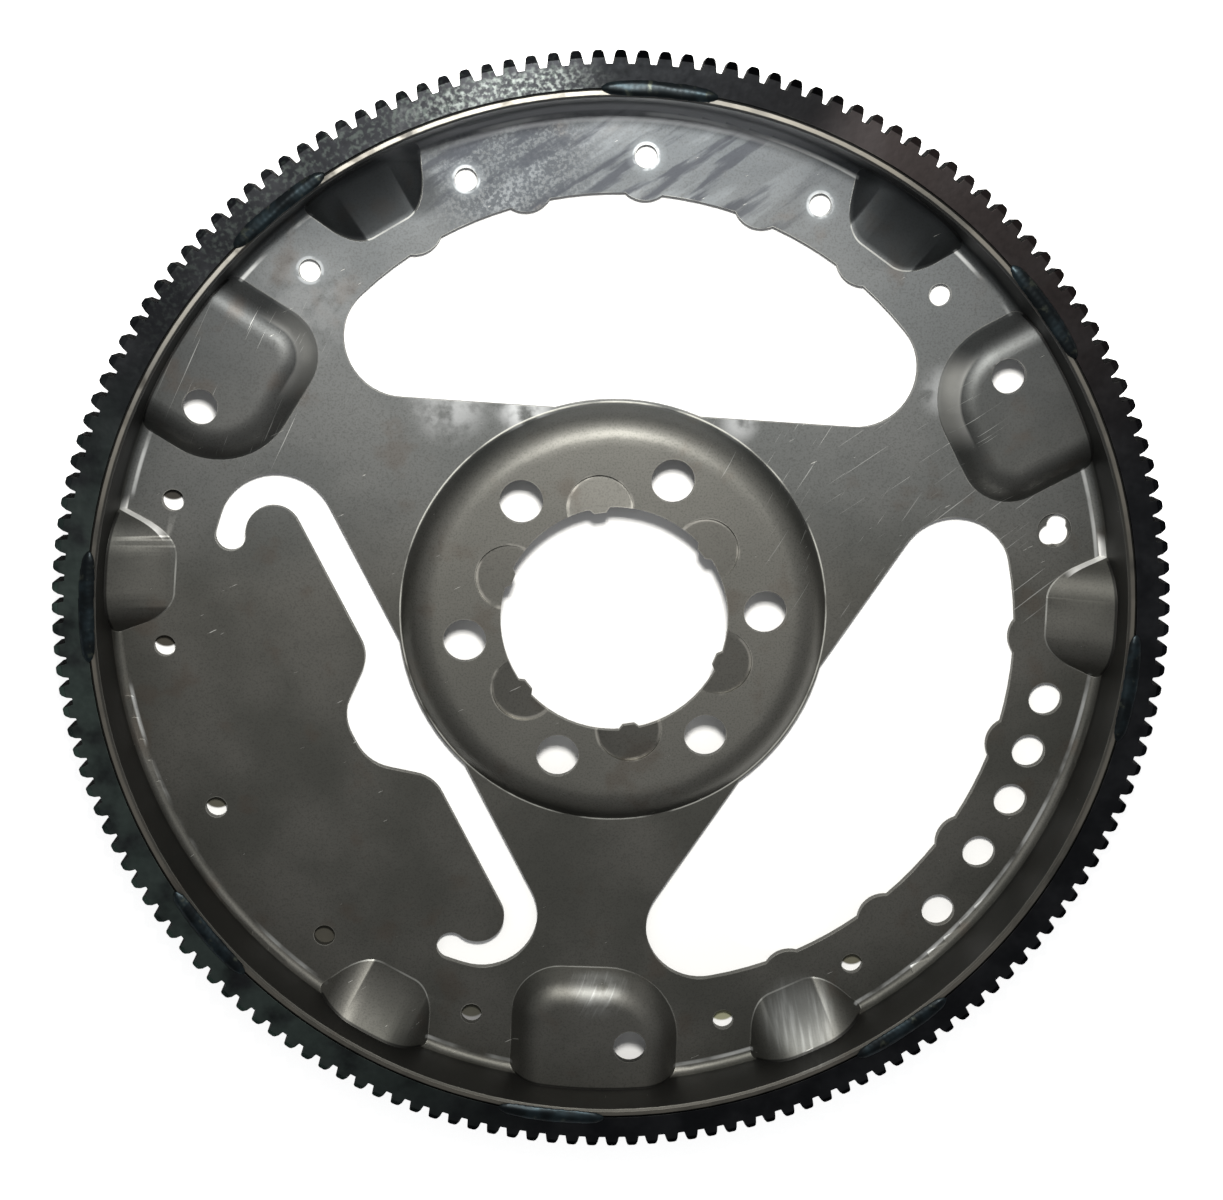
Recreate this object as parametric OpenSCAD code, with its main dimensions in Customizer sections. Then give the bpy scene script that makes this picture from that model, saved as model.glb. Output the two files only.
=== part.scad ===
// Flexplate: a dished steel pressing with a crank hub, three converter pads and six gussets,
// a ring gear shrunk on the lip of its rim, and weld beads that hold the gear.
// The origin is on the axis, in the plane of the web's underside, and +Z is the raised side of the hub.
// Lengths are in millimetres, angles in degrees from +X.

/* [Sheet and rim] */
// Thickness of the pressed sheet
sheet_t = 2.6; // [2:0.1:3.4]
// Height of the lip above the web
rim_h = 24; // [21:0.5:30]
// Inside radius of the bend between web and rim
rim_bend_r = 3; // [3:0.5:6]
// Bevel off the two edges of the lip
lip_bevel = 0.7; // [0.2:0.1:1]
// Distance from the converter bolt circle to the rim wall
rim_gap = 15.15; // [12:0.05:20]
// Slope of the pressed hub and pad flanks
flank_slope = 55; // [45:1:65]

/* [Crank hub] */
// Diameter of the pilot bore
hub_bore_d = 73; // [60:0.5:76]
// Diameter of the crank bolt circle
hub_circle_d = 96.8; // [92:0.1:106]
// Diameter of a crank bolt hole
hub_bolt_d = 13.8; // [10:0.1:15]
// Number of crank bolts
hub_bolts = 6; // [4:1:8]
// Angle of the first crank bolt
hub_bolt_angle = 67.5; // [0:0.5:90]
// How far the last bolt hole is turned from its even place, to index the plate
index_turn = -4.8; // [-8:0.1:8]
// Flat land from the bolt circle to the edge of the hub
hub_land = 14.4; // [12:0.1:18]
// Height of the hub above the web
hub_rise = 8.8; // [6:0.1:11]
// Rounding of the hub's shoulder
hub_shoulder_r = 12; // [5:0.5:13]
// Diameter of the coined half rounds at the bore
coin_d = 21; // [16:0.5:24]
// Depth of a coined half round where it meets the bore
coin_dip = 0.3; // [0.1:0.1:0.8]
// Tilt of the floor of a coined half round
coin_tilt = 6; // [3:0.5:9]
// Width of the metal squeezed into the bore at each coined half round
squeeze_w = 7; // [4:0.5:8]
// Reach of that metal into the bore
squeeze_h = 1.6; // [0.6:0.1:2.4]
// Step from the faces of the sheet to that metal
squeeze_step = 0.1; // [0.05:0.05:0.5]

/* [Converter pads] */
// Diameter of the converter bolt circle
pad_circle_d = 292.1; // [286:0.1:310]
// Diameter of a converter bolt hole
pad_bolt_d = 11; // [8:0.1:14]
// Number of pads
pads = 3; // [3:1:3]
// Angle of the first converter bolt hole
pad_bolt_angle = 32; // [0:0.5:60]
// Angle from the middle of a pad to its bolt hole
pad_bolt_turn = 4.6; // [0:0.1:6]
// Height of a pad above the web
pad_rise = 9; // [6:0.1:11]
// Distance from the bolt circle in to the foot of the pad
pad_reach = 25; // [22:0.5:28]
// Width of a pad at its foot
pad_w = 56.4; // [50:0.2:62]
// Plan radius of the pad's tighter corner
pad_tight_r = 16; // [14:0.5:20]
// Plan radius of the pad's wider corner
pad_wide_r = 25; // [20:0.5:28]
// Rounding of a pad's shoulder
pad_shoulder_r = 10; // [5:0.5:11]

/* [Gussets] */
// Angle from the middle of a pad back to the gusset behind it
gusset_back = 28; // [26:0.1:30]
// Angle from the middle of a pad on to the gusset ahead of it
gusset_ahead = 26.9; // [26:0.1:30]
// Length of a gusset in from the rim wall
gusset_l = 20.2; // [16:0.2:24]
// Height that a gusset reaches on the rim wall, above the web
gusset_rise = 12; // [8:0.2:14]
// Width of a gusset's ramp between its side edges
gusset_w = 25; // [20:0.5:30]
// Slope of a gusset's sides
gusset_slope = 48; // [40:1:60]
// Rounding along a gusset's side edges
gusset_edge_r = 15; // [5:0.5:16]

/* [Windows] */
// Angle of the middle of the first window
window_angle = 86; // [80:0.5:92]
// Half of the angle between the middles of a window's round ends
window_half_angle = 40.6; // [36:0.2:42]
// How far the hub bulges past the straight inner edge of a window
window_bulge = 3.2; // [1:0.1:6]
// Width of the band left between a window and the rim wall
window_band = 27.2; // [24:0.2:32]
// How far the round ends stay inside the crown of the outer edge
window_end_drop = 4.2; // [2:0.1:6]
// Flat land kept round the foot of the hub
hub_foot_land = 0.8; // [0.4:0.1:3]
// Angle between the scallops on a window's outer edge
scallop_pitch = 15.3; // [13:0.1:17]
// Radius of a scallop
scallop_r = 9; // [6:0.5:14]
// Depth of a scallop
scallop_depth = 2.2; // [1:0.1:4]

/* [Counterweight slot] */
// Width of the slot along the hub
slot_w = 11.3; // [8:0.1:14]
// Width of the slot round its hooked ends
slot_hook_w = 9.8; // [7:0.1:12]
// Angle at which the hooks end
slot_hook_angle = 67; // [60:1:80]
// Half width of the bay in the counterweight, at its mouth
bay_mouth = 23; // [20:0.5:28]
// Half width of the bay at its head
bay_head = 9; // [8:0.5:12]
// Depth of the bay
bay_depth = 17.4; // [12:0.2:22]
// Rounding at the mouth of the bay
bay_mouth_r = 12; // [6:0.5:14]
// Rounding at the head of the bay
bay_head_r = 15; // [8:0.5:17]

/* [Balance holes] */
// Diameter of the punched holes
punch_d = 7; // [5:0.1:9]
// Diameter of the holes drilled or opened out for balance
drill_d = 11; // [9:0.1:12]
// Distance from the rim wall in to the circle of holes
hole_gap = 15.9; // [13:0.1:20]
// Angle between neighbouring punched holes
punch_pitch = 22.35; // [21:0.05:23]
// Angle from the middle of a window back to the hole beside the pad
punch_back = 41.2; // [40:0.1:43]

/* [Ring gear] */
// Number of teeth
teeth = 164; // [140:1:176]
// Place of the first tooth from +X, in tooth pitches
tooth_phase = 0.8; // [0:0.1:1]
// Height of a tooth
tooth_h = 4.2; // [3:0.1:5]
// Width of a tooth at its tip
tooth_tip_w = 3; // [2:0.1:3.4]
// Width of a tooth at its root
tooth_root_w = 4.5; // [3.8:0.1:5]
// Rounding off the corners of a tooth's tip
tooth_round = 0.6; // [0.2:0.1:0.9]
// Solid band between the lip and the tooth roots
gear_band = 7; // [5:0.1:10]
// Width of the gear along the axis
gear_w = 10.5; // [8:0.1:12]
// Lead-in bevel on the tooth tips, on the weld side
lead_in = 2.4; // [1:0.1:3]

/* [Weld beads] */
// Length of a bead
bead_l = 36; // [20:1:50]
// Width of a bead
bead_w = 6; // [4:0.2:8]
// Height of a bead
bead_h = 1.6; // [1:0.1:2.5]
// Size of a bead's rounded end, as a share of its section
bead_end = 0.92; // [0.7:0.01:0.96]

/* [Hidden] */
$fn = 96;

// Angles at which the beads were laid, by hand and a little uneven
bead_angles = [37, 85.5, 128, 177, 217, 262.5, 305, 353];
// Holes drilled into the band of the second window: angle from its middle, and step out from the circle
drillings = [[22.35, 0], [15.1, 0], [8.2, 1.4], [0.2, 1.8], [-9.1, 4.2]];
// The last hole there was drilled half through beside a punched one: its angle, and how deep the drill went
pocket_angle = 44.7;
pocket_depth = sheet_t / 2;
// Where the punched hole and later drillings come through the floor of that pocket, and how wide
pocket_breaks = [[[1, 1.9], 6.5], [[-1.2, -1.6], 6.8], [[1.2, -1.2], 7.4]];
// Run-out of a cut past the face that it goes through
cut_over = 1;
// Overrun of an arc past the lines it is tangent to, so that it crosses them cleanly
blend = 0.01;

// Radii outwards from the axis
hub_edge_r = hub_circle_d / 2 + hub_land;
hub_foot_r = hub_edge_r + hub_rise / tan(flank_slope);
pad_foot_r = pad_circle_d / 2 - pad_reach;
wall_r = pad_circle_d / 2 + rim_gap;
lip_r = wall_r + sheet_t;
hole_r = wall_r - hole_gap;
root_r = lip_r + gear_band;
tip_r = root_r + tooth_h;

// Heights above the underside of the web
web_z = sheet_t;
hub_z = web_z + hub_rise;
pad_z = web_z + pad_rise;
lip_z = web_z + rim_h;

// A flank's underside lies this much further in than its upper face, for an even sheet
flank_inset = sheet_t * tan(flank_slope / 2);
gusset_inset = sheet_t * tan(gusset_slope / 2);
gusset_tilt = atan(gusset_rise / gusset_l);

// Window outline in its own plan frame, with the middle of the window on +Y
sector = 360 / pads;
window_base = hub_foot_r - window_bulge;
crown_r = wall_r - window_band;
end_r = (crown_r - window_end_drop - window_base / cos(window_half_angle))
    / (1 + 1 / cos(window_half_angle));
end_y = window_base + end_r;
end_x = end_y * tan(window_half_angle);
crown_reach = crown_r - end_r;
crown_y = (crown_reach ^ 2 - end_x ^ 2 - end_y ^ 2) / (2 * (crown_reach - end_y));

// Slot outline in the same frame
slot_edge = window_base + slot_w;
hook_r = end_r - slot_hook_w;
hook_y = slot_edge + hook_r;

// Round end of a hook, tangent to the crown arc outside it and to the hook's own arc inside it
crown_arc_r = crown_r - crown_y;
hook_arm = [end_x, hook_y - crown_y];
hook_along = hook_arm * polar(1, slot_hook_angle);
hook_end_r = (crown_arc_r ^ 2 - hook_arm * hook_arm - hook_r ^ 2 - 2 * hook_r * hook_along)
    / (2 * (hook_along + hook_r + crown_arc_r));
hook_end = [end_x, hook_y] + polar(hook_r + hook_end_r, slot_hook_angle);

function polar(r, a) = [r * cos(a), r * sin(a)];
function unit(v) = v / norm(v);
function mirrored(points) = [for (i = [len(points) - 1:-1:0]) [-points[i][0], points[i][1]]];

// Fillet between the lines a-p and p-b: where it leaves the first line, and its centre
function corner_half(a, p, b) = acos(unit(a - p) * unit(b - p)) / 2;
function corner_start(a, p, b, r) = p + unit(a - p) * r / tan(corner_half(a, p, b));
function corner_centre(a, p, b, r) = p + unit(unit(a - p) + unit(b - p)) * r / sin(corner_half(a, p, b));
function corner_turn(a, p, b) = cross(p - a, b - p);

// The cap of a fillet's circle that rounds the corner, reaching back past the chord for a sound joint
module corner_cap(a, p, b, r) {
    from = corner_start(a, p, b, r);
    chord = corner_start(b, p, a, r) - from;
    outward = cross(chord, p - from) > 0;
    back = r / 4;
    intersection() {
        translate(corner_centre(a, p, b, r))
            circle(r + blend);
        translate(from)
            rotate(atan2(chord[1], chord[0]))
            translate([-r, outward ? -back : -r])
            square([norm(chord) + 2 * r, r + back]);
    }
}

// A polygon, counter-clockwise, with a true arc of its own radius at each corner; 0 leaves a corner sharp
module rounded_polygon(points, radii) {
    n = len(points);
    function before(i) = points[(i + n - 1) % n];
    function after(i) = points[(i + 1) % n];
    difference() {
        union() {
            polygon([
                for (i = [0:n - 1])
                    each radii[i] > 0
                        ? [corner_start(before(i), points[i], after(i), radii[i]),
                           corner_start(after(i), points[i], before(i), radii[i])]
                        : [points[i]]
            ]);
            for (i = [0:n - 1])
                if (radii[i] > 0 && corner_turn(before(i), points[i], after(i)) > 0)
                    corner_cap(before(i), points[i], after(i), radii[i]);
        }
        for (i = [0:n - 1])
            if (radii[i] > 0 && corner_turn(before(i), points[i], after(i)) < 0)
                corner_cap(before(i), points[i], after(i), radii[i]);
    }
}

// Section of the sheet from the pilot bore to the lip
module sheet_section() {
    bore_r = hub_bore_d / 2;
    rounded_polygon(
        [
            [bore_r, hub_z - sheet_t],
            [hub_edge_r - flank_inset, hub_z - sheet_t],
            [hub_foot_r - flank_inset, 0],
            [lip_r, 0],
            [lip_r, lip_z - lip_bevel],
            [lip_r - lip_bevel, lip_z],
            [wall_r + lip_bevel, lip_z],
            [wall_r, lip_z - lip_bevel],
            [wall_r, web_z],
            [hub_foot_r, web_z],
            [hub_edge_r, hub_z],
            [bore_r, hub_z],
        ],
        [0, hub_shoulder_r - sheet_t, 0, rim_bend_r + sheet_t, 0, 0, 0, 0, rim_bend_r, 0, hub_shoulder_r, 0]
    );
}

// Section of a pad's flank: it crosses the web's face at x = inset, and its flat top runs on to x = depth
module pad_section(depth, inset, drop, floor_z) {
    top_z = pad_z - drop;
    sunk = web_z - drop - floor_z;
    rounded_polygon(
        [
            [inset - sunk / tan(flank_slope), floor_z],
            [depth, floor_z],
            [depth, top_z],
            [inset + pad_rise / tan(flank_slope), top_z],
        ],
        [0, 0, 0, pad_shoulder_r - drop]
    );
}

// Solid under one face of a pad, with the middle of the pad on +X
module pad_form(inset, drop, floor_z, reach) {
    module flank(depth) pad_section(depth, inset, drop, floor_z);
    module side(corner_r)
        translate([pad_foot_r + corner_r, -pad_w / 2, 0])
        rotate([90, 0, 90])
        linear_extrude(reach - pad_foot_r - corner_r)
        flank(corner_r);
    module corner(corner_r)
        translate([pad_foot_r + corner_r, -pad_w / 2 + corner_r, 0])
        rotate(180)
        rotate_extrude(angle = 90)
        translate([corner_r, 0])
        mirror([1, 0])
        flank(corner_r);
    front_l = pad_w - pad_tight_r - pad_wide_r;
    side(pad_tight_r);
    corner(pad_tight_r);
    mirror([0, 1, 0]) {
        side(pad_wide_r);
        corner(pad_wide_r);
    }
    translate([pad_foot_r, pad_w / 2 - pad_wide_r, 0])
        rotate([90, 0, 0])
        linear_extrude(front_l)
        flank(pad_wide_r);
    translate([pad_foot_r + pad_wide_r, -pad_w / 2 + pad_tight_r, floor_z])
        cube([reach - pad_foot_r - pad_wide_r, front_l, pad_z - drop - floor_z]);
}

// Solid under one face of a gusset's ramp, with the middle of the gusset on +X
module gusset_form(inset, drop) {
    depth = rim_h + sheet_t;
    half_w = gusset_w / 2 - inset;
    spread = depth / tan(gusset_slope);
    lead = (web_z + cut_over) / sin(gusset_tilt);
    edge_r = gusset_edge_r - drop;
    translate([wall_r - gusset_l, 0, web_z])
        rotate([0, -gusset_tilt, 0])
        translate([-lead, 0, 0])
        rotate([90, 0, 90])
        linear_extrude(lead + 2 * gusset_l)
        translate([0, -drop])
        rounded_polygon(
            [[-half_w - spread, -depth], [half_w + spread, -depth], [half_w, 0], [-half_w, 0]],
            [0, 0, edge_r, edge_r]
        );
}

// Runs its children at each pad, with the middle of the pad on +X
module at_pads() {
    for (i = [0:pads - 1])
        rotate(pad_bolt_angle - pad_bolt_turn + i * sector)
            children();
}

// Runs its children at each gusset
module at_gussets() {
    at_pads()
        for (turn = [-gusset_back, gusset_ahead])
            rotate(turn)
                children();
}

// Outline shared by the two windows and the slot: straight along the hub, round ends, arched outer edge
module window_outline() {
    far = 2 * crown_r;
    ray = unit([end_x, end_y - crown_y]);
    difference() {
        union() {
            intersection() {
                translate([0, crown_y])
                    circle(crown_arc_r);
                polygon([
                    [-end_x, window_base],
                    [end_x, window_base],
                    [end_x, end_y],
                    [end_x + far * ray[0], end_y + far * ray[1]],
                    [-end_x - far * ray[0], end_y + far * ray[1]],
                    [-end_x, end_y],
                ]);
            }
            for (side = [-1, 1])
                translate([side * end_x, end_y])
                    circle(end_r + blend);
        }
        circle(hub_foot_r + hub_foot_land);
    }
}

// A window with the scallops that stand into it from its outer edge
module window() {
    difference() {
        window_outline();
        for (k = [-2:2])
            translate(polar(crown_r - scallop_depth * (1 + abs(k) / 2) + scallop_r, 90 + k * scallop_pitch))
                circle(scallop_r);
    }
}

// Metal kept inside the third window as a counterweight, with its bay towards the hub
module counterweight() {
    right = [
        [bay_mouth, slot_edge],
        [end_x, slot_edge],
        [end_x, hook_y],
        hook_end,
        hook_end + 2 * end_r * unit(hook_end - [0, crown_y]),
        [end_x, 2 * crown_r],
    ];
    bay_top = slot_edge + bay_depth;
    rounded_polygon(
        concat(mirrored(right), [[-bay_head, bay_top], [bay_head, bay_top]], right),
        [0, 0, 0, 0, 0, bay_mouth_r, bay_head_r, bay_head_r, bay_mouth_r, 0, 0, 0, 0, 0]
    );
    for (side = [-1, 1])
        translate([side * end_x, hook_y])
            circle(hook_r + blend);
}

// The slot left round the counterweight, with its hooked round ends
module slot() {
    difference() {
        window_outline();
        counterweight();
    }
    for (side = [-1, 1])
        translate([side * hook_end[0], hook_end[1]])
            circle(hook_end_r + blend);
}

// Plan of the two windows and the slot
module cut_plan() {
    module at_window(i) rotate(window_angle - 90 - i * sector) children();
    at_window(0) window();
    at_window(1) window();
    at_window(2) slot();
}

// Bolt holes and balance holes, as cutters
module hole_cutters() {
    module hole(r, a, d)
        rotate(a)
        translate([r, 0, -cut_over])
        cylinder(d = d, h = lip_z + 2 * cut_over);
    for (i = [0:hub_bolts - 1]) {
        turn = i == hub_bolts - 1 ? index_turn : 0;
        hole(hub_circle_d / 2, hub_bolt_angle + i * 360 / hub_bolts + turn, hub_bolt_d);
    }
    for (i = [0:pads - 1])
        hole(pad_circle_d / 2, pad_bolt_angle + i * sector, pad_bolt_d);
    for (i = [0:pads - 1]) {
        middle = window_angle - i * sector;
        hole(hole_r, middle - punch_back, punch_d);
        for (k = i == 1 ? [-1] : [-1:2])
            hole(hole_r, middle + k * punch_pitch, punch_d);
    }
    drilled_middle = window_angle - sector;
    for (drilling = drillings)
        hole(hole_r + drilling[1], drilled_middle + drilling[0], drill_d);
    translate(polar(hole_r, drilled_middle + pocket_angle)) {
        translate([0, 0, web_z - pocket_depth])
            cylinder(d = drill_d, h = web_z);
        for (opening = pocket_breaks)
            translate([opening[0][0], opening[0][1], -cut_over])
                cylinder(d = opening[1], h = web_z);
    }
}

// Runs its children at the pilot bore, midway between the crank bolts
module at_coins() {
    for (i = [0:hub_bolts - 1])
        rotate(hub_bolt_angle + (i + 0.5) * 360 / hub_bolts)
            translate([hub_bore_d / 2, 0, 0])
                children();
}

// The pressed sheet with its pads and gussets formed in, before anything is cut through it
module pressing() {
    difference() {
        union() {
            rotate_extrude()
                sheet_section();
            intersection() {
                cylinder(r = wall_r + sheet_t / 2, h = lip_z);
                union() {
                    at_pads()
                        pad_form(0, 0, web_z / 2, lip_r);
                    at_gussets()
                        gusset_form(0, 0);
                }
            }
        }
        at_pads()
            pad_form(flank_inset, sheet_t, -cut_over, lip_r + cut_over);
        at_gussets()
            gusset_form(gusset_inset, sheet_t);
    }
}

module disc() {
    color("#5f6162")
    difference() {
        union() {
            pressing();
            at_coins()
                translate([0, 0, hub_z - sheet_t + squeeze_step])
                linear_extrude(sheet_t - 2 * squeeze_step)
                polygon([
                    [sheet_t / 2, -squeeze_w / 2 - squeeze_h],
                    [sheet_t / 2, squeeze_w / 2 + squeeze_h],
                    [0, squeeze_w / 2],
                    [-squeeze_h, squeeze_w / 2 - squeeze_h],
                    [-squeeze_h, -squeeze_w / 2 + squeeze_h],
                    [0, -squeeze_w / 2],
                ]);
        }
        translate([0, 0, -cut_over])
            linear_extrude(lip_z)
            cut_plan();
        hole_cutters();
        at_coins()
            translate([0, 0, hub_z - coin_dip])
            rotate([0, coin_tilt, 0])
            cylinder(d = coin_d, h = hub_rise);
    }
}

// Plan outline of the toothed ring, without its bore
module gear_outline() {
    pitch = 360 / teeth;
    function tooth_points(a) = [
        for (p = [
            [root_r, -tooth_root_w / 2],
            [tip_r - tooth_round, -tooth_tip_w / 2],
            [tip_r, -tooth_tip_w / 2 + tooth_round],
            [tip_r, tooth_tip_w / 2 - tooth_round],
            [tip_r - tooth_round, tooth_tip_w / 2],
            [root_r, tooth_root_w / 2],
        ])
            [p[0] * cos(a) - p[1] * sin(a), p[0] * sin(a) + p[1] * cos(a)]
    ];
    polygon([for (i = [0:teeth - 1]) each tooth_points((i + tooth_phase) * pitch)]);
}

module ring_gear() {
    color("#26282a")
    translate([0, 0, lip_z - gear_w])
    difference() {
        intersection() {
            linear_extrude(gear_w)
                gear_outline();
            rotate_extrude()
                polygon([
                    [0, 0],
                    [tip_r, 0],
                    [tip_r, gear_w - lead_in],
                    [tip_r - lead_in, gear_w],
                    [0, gear_w],
                ]);
        }
        translate([0, 0, -cut_over])
            cylinder(r = lip_r, h = gear_w + 2 * cut_over);
    }
}

// Section of a bead: a low arch
module bead_section(w, h) {
    arch_r = (w ^ 2 / 4 + h ^ 2) / (2 * h);
    intersection() {
        translate([0, h - arch_r])
            circle(arch_r);
        translate([-w / 2, 0])
            square([w, h]);
    }
}

// One bead on the joint between lip and gear, middle on +X, tapering into rounded ends
module bead() {
    run = (bead_l - bead_end * bead_w) / lip_r * 180 / PI;
    rotate(-run / 2)
        rotate_extrude(angle = run)
        translate([lip_r, 0])
        bead_section(bead_w, bead_h);
    for (side = [-1, 1])
        rotate(side * run / 2)
        translate([lip_r, 0, 0])
        rotate_extrude()
        intersection() {
            bead_section(bead_end * bead_w, bead_end * bead_h);
            square(bead_w);
        }
}

module weld_beads() {
    color("#31373a")
    translate([0, 0, lip_z])
    for (a = bead_angles)
        rotate(a)
            bead();
}

disc();
ring_gear();
weld_beads();
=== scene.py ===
# Flexplate: a dished steel pressing with a toothed ring welded round its rim, lying on a white table.
import math

import bpy
from mathutils import Matrix, Vector, noise


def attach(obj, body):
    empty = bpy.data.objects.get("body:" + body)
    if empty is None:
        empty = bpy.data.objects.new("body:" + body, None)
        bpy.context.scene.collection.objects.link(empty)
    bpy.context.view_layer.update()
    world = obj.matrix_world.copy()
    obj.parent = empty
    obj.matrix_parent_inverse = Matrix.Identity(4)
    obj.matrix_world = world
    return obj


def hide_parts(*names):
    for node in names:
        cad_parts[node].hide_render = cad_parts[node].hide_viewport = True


MM = 0.001

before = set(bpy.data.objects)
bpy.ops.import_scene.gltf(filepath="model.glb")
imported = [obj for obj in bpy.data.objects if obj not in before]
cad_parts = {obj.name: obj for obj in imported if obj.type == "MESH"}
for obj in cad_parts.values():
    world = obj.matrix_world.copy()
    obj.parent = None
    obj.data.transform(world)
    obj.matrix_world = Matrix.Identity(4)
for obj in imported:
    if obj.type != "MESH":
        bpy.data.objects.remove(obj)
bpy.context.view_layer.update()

# Places on the plate, in millimetres from its axis and from the underside of the web
WEB_TOP = 2.6
HUB_TOP = 11.4
HUB_FOOT_R = 69.0
COIN_AT_R = 36.5
COIN_R = 10.5
COIN_ANGLES = range(37, 397, 60)
HOLE_R = 145.3
RUBBED_HOLES = (63.65, 86, 108.35, 130.7)
UPPER_RAMPS = (54.3, 119.4)
SIDE_FLANKS = ((-151, 31), (155, 17))
BEND_R = 158.2
WALL_R = 161.2
LIP_R = 163.8
LIP_TOP = 26.6
BEAD_L = 36
BEAD_ANGLES = (37, 85.5, 128, 177, 217, 262.5, 305, 353)

# Meshes: how near points are joined, in millimetres, and in degrees the bend that still counts as flat
# and the one from which an edge is broken
JOIN = 0.002
FLAT = 0.4
SHARP = 40

# Weld beads, in millimetres: cells of the new mesh, and lengths of the waves along the run
BEAD_CELL = 0.45
WANDER_L = 8
LUMP_L = 9
RIPPLE_L = 1.8


def linear(code):
    """sRGB hex to linear RGBA."""
    parts = [int(code[i:i + 2], 16) / 255 for i in (1, 3, 5)]
    return [c / 12.92 if c <= 0.04045 else ((c + 0.055) / 1.055) ** 2.4 for c in parts] + [1.0]


def polar(r, degrees):
    """Plan point at a radius and an angle, in millimetres."""
    a = math.radians(degrees)
    return r * math.cos(a), r * math.sin(a)


def only(obj):
    """Selects this object alone and makes it active."""
    bpy.ops.object.select_all(action="DESELECT")
    obj.select_set(True)
    bpy.context.view_layer.objects.active = obj


def apply_modifier(obj, kind, **settings):
    """Adds one modifier to the object and applies it."""
    only(obj)
    mod = obj.modifiers.new(kind.lower(), kind)
    for key, value in settings.items():
        setattr(mod, key, value)
    bpy.ops.object.modifier_apply(modifier=mod.name)


def merged_copy(node, name):
    """A copy of a CAD node with its triangles joined into one skin and its flats into single faces."""
    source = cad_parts[node]
    obj = bpy.data.objects.new(name, source.data.copy())
    bpy.context.scene.collection.objects.link(obj)
    only(obj)
    bpy.ops.object.mode_set(mode="EDIT")
    bpy.ops.mesh.select_all(action="SELECT")
    bpy.ops.mesh.remove_doubles(threshold=JOIN * MM)
    bpy.ops.mesh.dissolve_limited(angle_limit=math.radians(FLAT))
    bpy.ops.object.mode_set(mode="OBJECT")
    return obj


def stand_for(obj, node):
    """Lets a finished piece stand for its CAD node on the one rigid body."""
    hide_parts(node)
    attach(obj, "root")


def finish_metal(obj, edge, smooth):
    """Breaks the sharp edges, edge millimetres wide, and smooths bends of up to smooth degrees."""
    apply_modifier(obj, "BEVEL", width=edge * MM, segments=2, limit_method="ANGLE",
                   angle_limit=math.radians(SHARP), use_clamp_overlap=True)
    only(obj)
    bpy.ops.object.shade_smooth_by_angle(angle=math.radians(smooth))
    apply_modifier(obj, "WEIGHTED_NORMAL", mode="FACE_AREA", weight=90, keep_sharp=True)


plate = merged_copy("disc", "plate")
finish_metal(plate, 0.25, 24)
stand_for(plate, "disc")
gear = merged_copy("ring_gear", "starter_ring")
finish_metal(gear, 0.3, 30)
stand_for(gear, "ring_gear")


def weld_runs():
    """The beads, drawn out to slim ends and lumpy along their run, as a hand-fed weld leaves them."""
    obj = merged_copy("weld_beads", "weld_runs")
    apply_modifier(obj, "REMESH", mode="VOXEL", voxel_size=BEAD_CELL * MM)
    apply_modifier(obj, "SMOOTH", factor=0.5, iterations=6)
    for vertex in obj.data.vertices:
        x, y, z = vertex.co / MM
        r = math.hypot(x, y)
        degrees = math.degrees(math.atan2(y, x))
        from_middle = min(abs((degrees - a + 180) % 360 - 180) for a in BEAD_ANGLES)
        along = math.radians(degrees) * LIP_R
        far = min(math.radians(from_middle) * LIP_R / (BEAD_L / 2), 1)
        slim = 1 - 0.5 * far ** 4
        wander = noise.noise(Vector((along / WANDER_L, 0.5 * (r > LIP_R), 1.3)))
        lump = noise.noise(Vector((along / LUMP_L, (r - LIP_R) / 2, 3.7)))
        ripple = math.sin(2 * math.pi * (along + 0.14 * (r - LIP_R) ** 2) / RIPPLE_L)
        r = LIP_R + (r - LIP_R) * slim * (0.93 + 0.07 * wander)
        height = max(z - LIP_TOP, 0)
        if height:
            z = LIP_TOP + height * math.sqrt(slim) * (0.82 + 0.14 * lump + 0.012 * ripple)
        vertex.co = Vector((*polar(r, degrees), z)) * MM
    only(obj)
    bpy.ops.object.shade_smooth()
    return obj


welds = weld_runs()
stand_for(welds, "weld_beads")


def add(tree, kind, links=None, **settings):
    """One node with its settings; links maps an input to a socket or a plain value."""
    node = tree.nodes.new(kind)
    for key, value in settings.items():
        setattr(node, key, value)
    for key, value in (links or {}).items():
        if isinstance(value, bpy.types.NodeSocket):
            tree.links.new(value, node.inputs[key])
        else:
            node.inputs[key].default_value = value
    return node


def new_material(name):
    """An empty material: its tree, its shader and the Object coordinates in millimetres."""
    mat = bpy.data.materials.new(name)
    mat.use_nodes = True
    tree = mat.node_tree
    tree.nodes.clear()
    shader = add(tree, "ShaderNodeBsdfPrincipled")
    add(tree, "ShaderNodeOutputMaterial", {"Surface": shader.outputs[0]})
    place = add(tree, "ShaderNodeTexCoord").outputs["Object"]
    place = add(tree, "ShaderNodeVectorMath", {0: place, "Scale": 1 / MM}, operation="SCALE").outputs[0]
    return mat, tree, shader, place


def distance(tree, place, centre):
    """Distance in plan from a point, in millimetres."""
    plan = add(tree, "ShaderNodeVectorMath", {0: place, 1: (1, 1, 0)}, operation="MULTIPLY").outputs[0]
    return add(tree, "ShaderNodeVectorMath", {0: plan, 1: (*centre, 0)},
               operation="DISTANCE").outputs["Value"]


def near(tree, place, centre, inner, outer):
    """1 within inner millimetres of a plan point, falling to 0 at outer."""
    return add(tree, "ShaderNodeMapRange", {
        "Value": distance(tree, place, centre),
        "From Min": inner, "From Max": outer, "To Min": 1, "To Max": 0,
    }, interpolation_type="SMOOTHSTEP").outputs[0]


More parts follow.
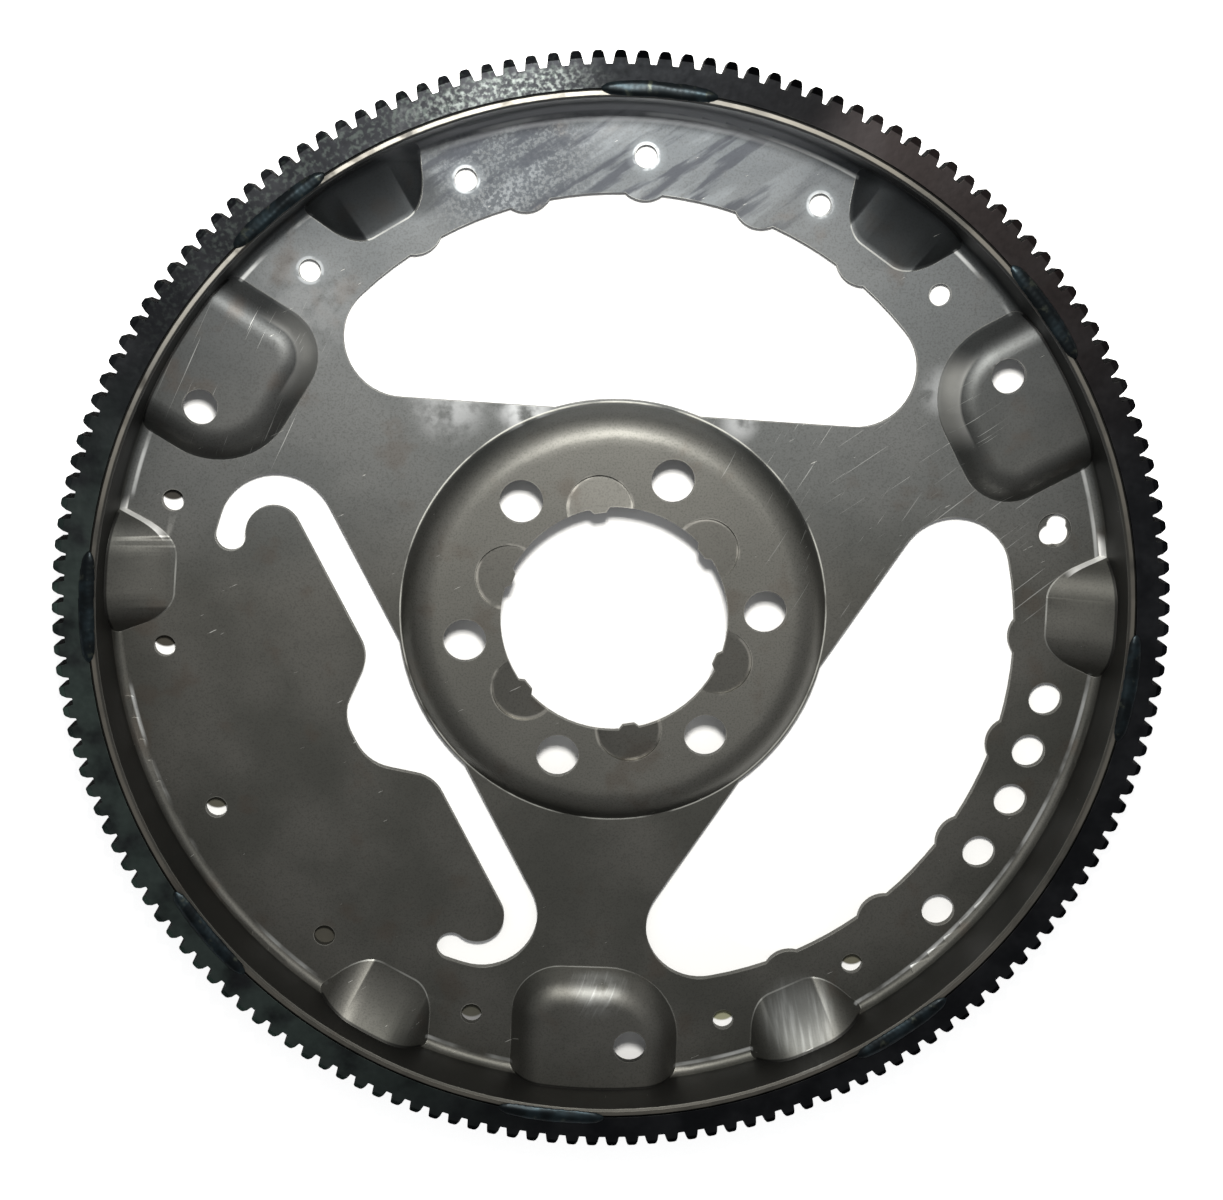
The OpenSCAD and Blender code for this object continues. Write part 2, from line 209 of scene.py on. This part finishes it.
def within(tree, value, low, high, fade):
    """1 where a value lies between two levels, fading to 0 outside them."""
    rise = add(tree, "ShaderNodeMapRange", {"Value": value, "From Min": low - fade,
                                            "From Max": low}).outputs[0]
    fall = add(tree, "ShaderNodeMapRange", {"Value": value, "From Min": high, "From Max": high + fade,
                                            "To Min": 1, "To Max": 0}).outputs[0]
    return add(tree, "ShaderNodeMath", {0: rise, 1: fall}, operation="MULTIPLY").outputs[0]


def patches(tree, place, size, low, high):
    """Uneven patches about size millimetres across: 0 below one level of the noise and 1 above another."""
    grain = add(tree, "ShaderNodeTexNoise", {"Vector": place, "Scale": 1 / size,
                                             "Detail": 4.0}).outputs["Fac"]
    return add(tree, "ShaderNodeMapRange", {"Value": grain, "From Min": low, "From Max": high},
               interpolation_type="SMOOTHSTEP").outputs[0]


def streaks(tree, place, degrees, length, width, seed, low, high):
    """Streaks that run at an angle in plan, length by width millimetres, from 0 to 1 between two levels."""
    turned = add(tree, "ShaderNodeMapping", {
        "Vector": place,
        "Location": (seed, seed, 0),
        "Rotation": (0, 0, -math.radians(degrees)),
    }, vector_type="POINT").outputs[0]
    drawn = add(tree, "ShaderNodeVectorMath", {0: turned, 1: (1 / length, 1 / width, 0.1)},
                operation="MULTIPLY").outputs[0]
    return patches(tree, drawn, 1, low, high)


def worn_edges(tree, width):
    """Share of wear along folds and cut edges, width millimetres wide."""
    soft = add(tree, "ShaderNodeBevel", {"Radius": width * MM}, samples=4).outputs[0]
    true = add(tree, "ShaderNodeNewGeometry").outputs["Normal"]
    flat = add(tree, "ShaderNodeVectorMath", {0: soft, 1: true}, operation="DOT_PRODUCT").outputs["Value"]
    return add(tree, "ShaderNodeMapRange", {"Value": flat, "From Min": 0.8, "From Max": 0.97,
                                            "To Min": 1, "To Max": 0}).outputs[0]


def cover(tree, tone, colour, share, *masks):
    """Lays a colour over a tone, by a share, where all the masks meet."""
    for mask in masks:
        share = add(tree, "ShaderNodeMath", {0: mask, 1: share}, operation="MULTIPLY").outputs[0]
    return add(tree, "ShaderNodeMix", {"Factor": share, 6: tone, 7: linear(colour)},
               data_type="RGBA").outputs[2]


def rolled_steel():
    """Rolled low-carbon steel, pressed and oiled: a dim satin grey with scale, rubs and scratches."""
    mat, tree, shader, place = new_material("rolled_steel")
    axes = add(tree, "ShaderNodeSeparateXYZ", {0: place})
    height = axes.outputs["Z"]
    radius = distance(tree, place, (0, 0))
    web = within(tree, height, WEB_TOP - 0.8, WEB_TOP + 0.8, 0.6)

    # Cloudy tone over some 40 mm, a painted bluish reflection at the top, a painted lighter sheen across
    # the middle, and a fine grain of about half a millimetre
    tone = cover(tree, linear("#52524d"), "#62615c", 1.0, patches(tree, place, 40, 0.35, 0.65))
    # Painted reflection: the web bluer towards the top
    upper = within(tree, axes.outputs["Y"], 140, 200, 130)
    tone = cover(tree, tone, "#50555a", 0.7, upper)
    # Painted sheen: a lighter band across the middle of the web
    middle = within(tree, axes.outputs["Y"], 40, 105, 35)
    tone = cover(tree, tone, "#8b8e8e", 0.2, web, middle)
    hub = within(tree, height, HUB_TOP - 2, HUB_TOP + 1, 4)
    tone = cover(tree, tone, "#73726c", 0.65, hub, near(tree, place, (0, 0), HUB_FOOT_R - 6, HUB_FOOT_R))
    tone = cover(tree, tone, "#3c3c39", 0.35, patches(tree, place, 0.6, 0.45, 0.7))
    tone = cover(tree, tone, "#55493f", 0.3, patches(tree, place, 16, 0.58, 0.7))

    # Mill scale rubbed off in slanting streaks on the web at the top
    top = near(tree, place, (-6, 150), 40, 85)
    tone = cover(tree, tone, "#8c9194", 0.2, web, top, streaks(tree, place, 32, 34, 7, 3, 0.48, 0.62))
    tone = cover(tree, tone, "#33353a", 0.8, web, top, streaks(tree, place, 32, 30, 5, 41, 0.52, 0.62))
    flakes = near(tree, place, (-32, 143), 12, 36)
    tone = cover(tree, tone, "#34373b", 0.75, web, flakes, patches(tree, place, 1, 0.38, 0.58))

    # Painted highlights on the web beside the windows, where its edge catches the light
    for centre, reach, share in (
        ((-52, 69), 16, 0.45), ((-28, 67), 12, 0.8), ((40, 62), 8, 0.5),
        ((106, 72), 11, 0.4), ((-95, 101), 24, 0.12),
    ):
        window_highlight = near(tree, place, centre, reach * 0.2, reach)
        tone = cover(tree, tone, "#c6c8c8", share, web, window_highlight, patches(tree, place, 6, 0.3, 0.6))

    # Painted highlights on the flanks of the two upper pads, towards the windows
    flank_highlight = within(tree, height, WEB_TOP + 0.5, WEB_TOP + 7, 0.5)
    for centre, reach, share in (((107, 69), 18, 0.75), ((-101, 85), 17, 0.45)):
        tone = cover(tree, tone, "#b5b5b0", share, flank_highlight, near(tree, place, centre, reach * 0.4, reach))

    # Painted shade on the two upper ramps
    for degrees in UPPER_RAMPS:
        slope = near(tree, place, polar(150, degrees), 17, 24)
        steep = within(tree, height, WEB_TOP + 1.2, LIP_TOP, 0.9)
        tone = cover(tree, tone, "#26292a", 0.6, slope, steep)
        tone = cover(tree, tone, "#17191a", 0.4, steep, near(tree, place, polar(149, degrees), 10, 16))

    # More painted shade on the web beside the left one
    beside = near(tree, place, (-61, 134), 4, 10)
    tone = cover(tree, tone, "#2c2e2f", 0.7, web, beside)

    # Tight rubbed rings where tools bore on the holes at the top
    for degrees in RUBBED_HOLES:
        hole = polar(HOLE_R, degrees)
        tone = cover(tree, tone, "#7d8284", 0.25, web, near(tree, place, hole, 4.2, 7))
        ring = near(tree, place, hole, 4, 4.7)
        tone = cover(tree, tone, "#a2a6a8", 0.8, ring, patches(tree, place, 4, 0.35, 0.55))

    # Coined half rounds at the bore, with painted shade inside and a painted highlight along their edge
    for degrees in COIN_ANGLES:
        out = distance(tree, place, polar(COIN_AT_R, degrees))
        tone = cover(tree, tone, "#45433f", 0.3, hub, within(tree, out, -1, COIN_R - 1.5, 1.5))
        tone = cover(tree, tone, "#b3b0a8", 0.5, hub, within(tree, out, COIN_R - 0.5, COIN_R + 0.1, 0.4),
                     patches(tree, place, 9, 0.4, 0.6))

    # Fine scratches in a few directions, drawn about 0.3 mm wide so that they show
    for seed, degrees, centre, reach in (
        (11, 34, (98, 44), 42), (23, 56, (78, 22), 34), (37, 38, (120, 20), 40),
        (61, 64, (-110, 75), 36), (83, 58, (54, 60), 30),
    ):
        lines = streaks(tree, place, degrees, 42, 0.5, seed, 0.67, 0.70)
        tone = cover(tree, tone, "#b9bab6", 0.75, lines, near(tree, place, centre, reach * 0.4, reach))
    dashes = streaks(tree, place, 25, 9, 0.7, 17, 0.74, 0.76)
    tone = cover(tree, tone, "#c8c8c2", 0.8, dashes)

    # Painted highlights on the low pad's upper edge and on the lower right ramp, with brushed rub marks in
    # them
    rub_and_highlight = near(tree, place, (-5.5, -126), 3, 12)
    raised = within(tree, height, WEB_TOP + 3, LIP_TOP, 2)
    tone = cover(tree, tone, "#9c9e9b", 0.35, raised, rub_and_highlight, patches(tree, place, 5, 0.3, 0.6))
    tone = cover(tree, tone, "#b4b6b4", 0.4, raised, rub_and_highlight,
                 streaks(tree, place, 62, 14, 0.9, 29, 0.5, 0.72))
    lower_ramp_highlight = near(tree, place, polar(151, 294.3), 5, 15)
    tone = cover(tree, tone, "#8f918e", 0.45, lower_ramp_highlight)
    tone = cover(tree, tone, "#b0b2af", 0.4, lower_ramp_highlight, streaks(tree, place, 98, 18, 1.4, 7, 0.4, 0.75))

    # Bare metal on folds and cut edges, uneven along their run
    worn = worn_edges(tree, 0.5)
    tone = cover(tree, tone, "#a9a89f", 0.6, worn, patches(tree, place, 9, 0.32, 0.62))
    tone = cover(tree, tone, "#cfcfc8", 0.6, worn, web, patches(tree, place, 18, 0.48, 0.66))

    # Painted highlight lines along the creases at the feet of the pads, ramps and hub and along the bend of
    # the rim, partly burnished by the press
    foot = within(tree, height, WEB_TOP + 0.05, WEB_TOP + 0.3, 0.04)
    inside = near(tree, place, (0, 0), BEND_R - 3, BEND_R - 2)
    tone = cover(tree, tone, "#c3c4be", 0.5, foot, inside, patches(tree, place, 24, 0.36, 0.56))
    crease = within(tree, radius, HUB_FOOT_R - 0.15, HUB_FOOT_R + 0.15, 0.25)
    tone = cover(tree, tone, "#d2d2ca", 0.8, web, crease, patches(tree, place, 22, 0.38, 0.55))
    bend = within(tree, radius, BEND_R - 0.5, BEND_R + 0.1, 0.5)
    tone = cover(tree, tone, "#d0d2d0", 0.75, web, bend, patches(tree, place, 28, 0.4, 0.58))

    # Painted highlight on the bend's brightest run, at the lower right
    bend_highlight = near(tree, place, polar(BEND_R, 308), 30, 90)
    tone = cover(tree, tone, "#e2e4e2", 0.7, web, bend, bend_highlight, patches(tree, place, 9, 0.3, 0.6))

    # Painted highlight streaks where the upper flanks of the two side ramps leave the web
    streak = within(tree, height, WEB_TOP + 0.12, WEB_TOP + 1.6, 0.08)
    for centre in SIDE_FLANKS:
        tone = cover(tree, tone, "#f6f6f2", 0.9, streak, near(tree, place, centre, 5, 10))

    # Painted shade on the wall of the rim, except at the top, where it is paler
    wall = within(tree, height, WEB_TOP + 3, LIP_TOP - 1.2, 0.6)
    below = within(tree, axes.outputs["Y"], -200, 125, 28)
    tone = cover(tree, tone, "#1c1c1b", 0.8, wall, below,
                 within(tree, radius, WALL_R - 0.6, LIP_R + 1, 0.3))
    pale_top = within(tree, axes.outputs["Y"], 153, 200, 10)
    tone = cover(tree, tone, "#b4b6b8", 0.75, pale_top, within(tree, radius, BEND_R - 2, WALL_R + 1, 1),
                 within(tree, height, WEB_TOP + 0.2, LIP_TOP - 1.2, 0.3))

    # The lip's cut end: a pale line along it, with a painted highlight towards the upper left
    lip = within(tree, height, LIP_TOP - 0.5, LIP_TOP + 1, 0.2)
    rim = within(tree, radius, WALL_R - 0.5, LIP_R + 1, 0.5)
    tone = cover(tree, tone, "#35332f", 0.6, lip, rim)
    line = within(tree, radius, WALL_R + 0.9, LIP_R - 0.8, 0.4)
    tone = cover(tree, tone, "#77736a", 0.65, lip, line, patches(tree, place, 24, 0.3, 0.55))
    upper_left_highlight = near(tree, place, polar(LIP_R, 118), 30, 150)
    tone = cover(tree, tone, "#aeaba2", 0.75, lip, line, upper_left_highlight, patches(tree, place, 7, 0.3, 0.55))
    tree.links.new(tone, shader.inputs["Base Color"])

    # Gloss that changes over some 30 mm, shallow dents some 14 mm wide and a fine grain
    cloud = add(tree, "ShaderNodeTexNoise", {"Vector": place, "Scale": 1 / 30,
                                             "Detail": 4.0}).outputs["Fac"]
    rough = add(tree, "ShaderNodeMapRange", {"Value": cloud, "To Min": 0.44, "To Max": 0.58}).outputs[0]
    tree.links.new(rough, shader.inputs["Roughness"])
    shader.inputs["Metallic"].default_value = 0.9
    dents = add(tree, "ShaderNodeTexNoise", {"Vector": place, "Scale": 1 / 14,
                                             "Detail": 2.0}).outputs["Fac"]
    wavy = add(tree, "ShaderNodeBump", {"Height": dents, "Distance": 0.12 * MM, "Strength": 0.6}).outputs[0]
    grain = add(tree, "ShaderNodeTexNoise", {"Vector": place, "Scale": 1 / 0.6,
                                             "Detail": 2.0}).outputs["Fac"]
    fine = add(tree, "ShaderNodeBump", {"Height": grain, "Distance": 0.02 * MM, "Strength": 0.5,
                                        "Normal": wavy}).outputs[0]
    tree.links.new(fine, shader.inputs["Normal"])
    return mat


def black_oxide():
    """Heat-treated gear steel: near-black oxide with a loose grey-green scale on one side."""
    mat, tree, shader, place = new_material("black_oxide")
    tone = cover(tree, linear("#202123"), "#2c2d2f", 1.0, patches(tree, place, 12, 0.35, 0.7))
    upper_left = near(tree, place, (-80, 145), 40, 105)
    tone = cover(tree, tone, "#59625c", 0.22, upper_left, patches(tree, place, 1.5, 0.48, 0.66))
    crusted = near(tree, place, (-34, 168), 10, 40)
    inner = within(tree, distance(tree, place, (0, 0)), LIP_R, LIP_R + 5.5, 2)
    tone = cover(tree, tone, "#848b87", 0.36, crusted, inner, patches(tree, place, 1.4, 0.44, 0.66))
    tone = cover(tree, tone, "#2e2826", 0.6, near(tree, place, (110, 130), 30, 110))
    tone = cover(tree, tone, "#0a0b0c", 0.88, near(tree, place, (30, 172), 30, 52))
    left = near(tree, place, (-150, -70), 70, 165)
    tone = cover(tree, tone, "#596660", 0.5, left, patches(tree, place, 10, 0.2, 0.6))
    tone = cover(tree, tone, "#55554f", 0.5, worn_edges(tree, 0.5), patches(tree, place, 12, 0.35, 0.7))
    # Painted shade on the upright faces of the teeth, darker than the flat face
    normal = add(tree, "ShaderNodeNewGeometry").outputs["Normal"]
    facing = add(tree, "ShaderNodeSeparateXYZ", {0: normal}).outputs["Z"]
    tone = cover(tree, tone, "#0d0d0e", 0.8, within(tree, facing, -0.3, 0.3, 0.3))
    tree.links.new(tone, shader.inputs["Base Color"])
    shader.inputs["Specular Tint"].default_value = linear("#4a4a4a")
    flake = add(tree, "ShaderNodeTexNoise", {"Vector": place, "Scale": 1 / 2.2,
                                             "Detail": 5.0}).outputs["Fac"]
    rough = add(tree, "ShaderNodeMapRange", {"Value": flake, "To Min": 0.32, "To Max": 0.55}).outputs[0]
    tree.links.new(rough, shader.inputs["Roughness"])
    shader.inputs["Metallic"].default_value = 1.0
    rind = add(tree, "ShaderNodeBump", {"Height": flake, "Distance": 0.06 * MM, "Strength": 0.6}).outputs[0]
    tree.links.new(rind, shader.inputs["Normal"])
    return mat


def weld_metal():
    """Weld metal: a smooth dark bead with a blue and green heat tint."""
    mat, tree, shader, place = new_material("weld_metal")
    tone = cover(tree, linear("#14191b"), "#222c30", 1.0, patches(tree, place, 6, 0.4, 0.65))
    tone = cover(tree, tone, "#4c5045", 0.5, patches(tree, place, 4, 0.58, 0.7))
    tree.links.new(tone, shader.inputs["Base Color"])
    shader.inputs["Roughness"].default_value = 0.38
    shader.inputs["Metallic"].default_value = 0.85
    return mat


for piece, finish in ((plate, rolled_steel()), (gear, black_oxide()), (welds, weld_metal())):
    piece.data.materials.clear()
    piece.data.materials.append(finish)

# Table: its width in metres, and its glow to the eye under the plate, outside it and in the low window
TABLE_W = 6
GLOW_UNDER = 0.0
GLOW_OUTSIDE = 0.75
GLOW_WINDOW = 0.3
# Plan places and reach of the glow in the low window
LOW_WINDOW = (((54, -94), 24), ((80, -62), 34), ((104, -18), 28))
# Small holes under which a shadow is painted on the table: angle, shift of the spot towards +Y, and its
# tone
SHADED_HOLES = (
    (206.1, 4.2, "#4d4b40"), (228.4, 1, "#3c3a32"), (303.8, 3.5, "#5f5d4e"),
    (184.6, 6.6, "#3a372f"), (165.2, 5.8, "#33302a"), (250.7, 0, "#858584"), (250.7, 2.8, "#45443a"),
    (284.7, 3.8, "#8f8f74"),
)
# Where a painted shadow spot starts to fade and where it ends, in millimetres from its middle
SPOT_FULL_R = 4.6
SPOT_END_R = 5.4
# Light of the room at the skyline and overhead, and its share in front of the plate and beyond it
ROOM_LOW = 0.28
ROOM_HIGH = 0.5
ROOM_FRONT = 0.45
ROOM_BACK = 1.1
# Height of the white walls as a direction's Z, where they start to fade and where they end
WALLS_FULL = 0.12
WALLS_END = 0.22


def white_table():
    """A matt white table top that stays white to the eye and keeps shadows."""
    bpy.ops.mesh.primitive_plane_add(size=TABLE_W, location=(0, 0, -0.05 * MM))
    table = bpy.context.active_object
    table.name = "table"
    mat, tree, shader, place = new_material("table_white")
    paper_and_shadows = linear("#fafaf8")
    # Painted shadows on the table under some of the small holes
    for degrees, lift, dim in SHADED_HOLES:
        x, y = polar(HOLE_R, degrees)
        paper_and_shadows = cover(tree, paper_and_shadows, dim, 1.0, near(tree, place, (x, y + lift), SPOT_FULL_R, SPOT_END_R))
    tree.links.new(paper_and_shadows, shader.inputs["Base Color"])
    shader.inputs["Roughness"].default_value = 0.9
    path = add(tree, "ShaderNodeLightPath")
    seen = add(tree, "ShaderNodeMath", {0: path.outputs["Is Camera Ray"], 1: path.outputs["Is Glossy Ray"]},
               operation="MAXIMUM").outputs[0]
    seen = add(tree, "ShaderNodeMath", {0: seen, 1: path.outputs["Is Transmission Ray"]},
               operation="MAXIMUM").outputs[0]
    under = near(tree, place, (0, 0), LIP_R, LIP_R + 10)
    level = add(tree, "ShaderNodeMapRange", {"Value": under, "To Min": GLOW_OUTSIDE,
                                             "To Max": GLOW_UNDER}).outputs[0]
    for centre, reach in LOW_WINDOW:
        clear = near(tree, place, centre, reach * 0.6, reach)
        level = add(tree, "ShaderNodeMath", {0: clear, 1: GLOW_WINDOW, 2: level},
                    operation="MULTIPLY_ADD").outputs[0]
    glow = add(tree, "ShaderNodeMath", {0: seen, 1: level}, operation="MULTIPLY").outputs[0]
    tree.links.new(glow, shader.inputs["Emission Strength"])
    shader.inputs["Emission Color"].default_value = linear("#ffffff")
    table.data.materials.append(mat)


def lamp(name, place, size, power, colour):
    """A square lamp at a place in millimetres, turned to the middle of the plate."""
    light = bpy.data.lights.new(name, "AREA")
    light.size = size * MM
    light.energy = power
    light.color = linear(colour)[:3]
    obj = bpy.data.objects.new(name, light)
    obj.location = Vector(place) * MM
    obj.rotation_euler = (-Vector(place)).to_track_quat("-Z", "Y").to_euler()
    bpy.context.scene.collection.objects.link(obj)


def room():
    """A dim room with white walls low down, brighter overhead and beyond the top of the plate."""
    world = bpy.data.worlds.new("room")
    bpy.context.scene.world = world
    world.use_nodes = True
    tree = world.node_tree
    tree.nodes.clear()
    way = add(tree, "ShaderNodeTexCoord").outputs["Generated"]
    axes = add(tree, "ShaderNodeSeparateXYZ", {0: way})
    up = add(tree, "ShaderNodeMapRange", {"Value": axes.outputs["Z"], "From Min": 0.0, "From Max": 1.0,
                                          "To Min": ROOM_LOW, "To Max": ROOM_HIGH}).outputs[0]
    back = add(tree, "ShaderNodeMapRange", {"Value": axes.outputs["Y"], "From Min": -0.5, "From Max": 0.4,
                                            "To Min": ROOM_FRONT, "To Max": ROOM_BACK}).outputs[0]
    level = add(tree, "ShaderNodeMath", {0: up, 1: back}, operation="MULTIPLY").outputs[0]
    # The walls are white to mirrors low down and to the camera all over
    path = add(tree, "ShaderNodeLightPath")
    wall = add(tree, "ShaderNodeMapRange", {"Value": axes.outputs["Z"], "From Min": WALLS_FULL,
                                            "From Max": WALLS_END, "To Min": 1, "To Max": 0}).outputs[0]
    wall = add(tree, "ShaderNodeMath", {0: wall, 1: path.outputs["Is Glossy Ray"]},
               operation="MULTIPLY").outputs[0]
    wall = add(tree, "ShaderNodeMath", {0: wall, 1: path.outputs["Is Camera Ray"]},
               operation="MAXIMUM").outputs[0]
    level = add(tree, "ShaderNodeMath", {0: level, 1: wall}, operation="MAXIMUM").outputs[0]
    sky = add(tree, "ShaderNodeBackground", {"Color": linear("#fbfcff"), "Strength": level})
    add(tree, "ShaderNodeOutputWorld", {"Surface": sky.outputs[0]})


white_table()
room()
lamp("key", place=(0, 280, 500), size=80, power=4.0, colour="#fffdfa")

# Camera at the photograph's viewing place: millimetres, radians and the photograph's pixels
CAMERA_MM = (-20.28, 125.68, 610.11)
TILT_X = 0.1962
TILT_Y = 0.0322
FOCAL_PX = 1914.04
FRAME_PX = 1223
SENSOR_W = 36
turn = Matrix.Rotation(TILT_X, 3, "X") @ Matrix.Rotation(TILT_Y, 3, "Y")
lens = bpy.data.cameras.new("camera")
lens.sensor_fit = "HORIZONTAL"
lens.sensor_width = SENSOR_W
lens.lens = FOCAL_PX / FRAME_PX * SENSOR_W
lens.clip_start = 0.01
camera = bpy.data.objects.new("camera", lens)
camera.matrix_world = Matrix.Translation(Vector(CAMERA_MM) * MM) @ turn.transposed().to_4x4()
bpy.context.scene.collection.objects.link(camera)
bpy.context.scene.camera = camera

bpy.context.scene.view_settings.view_transform = "Standard"
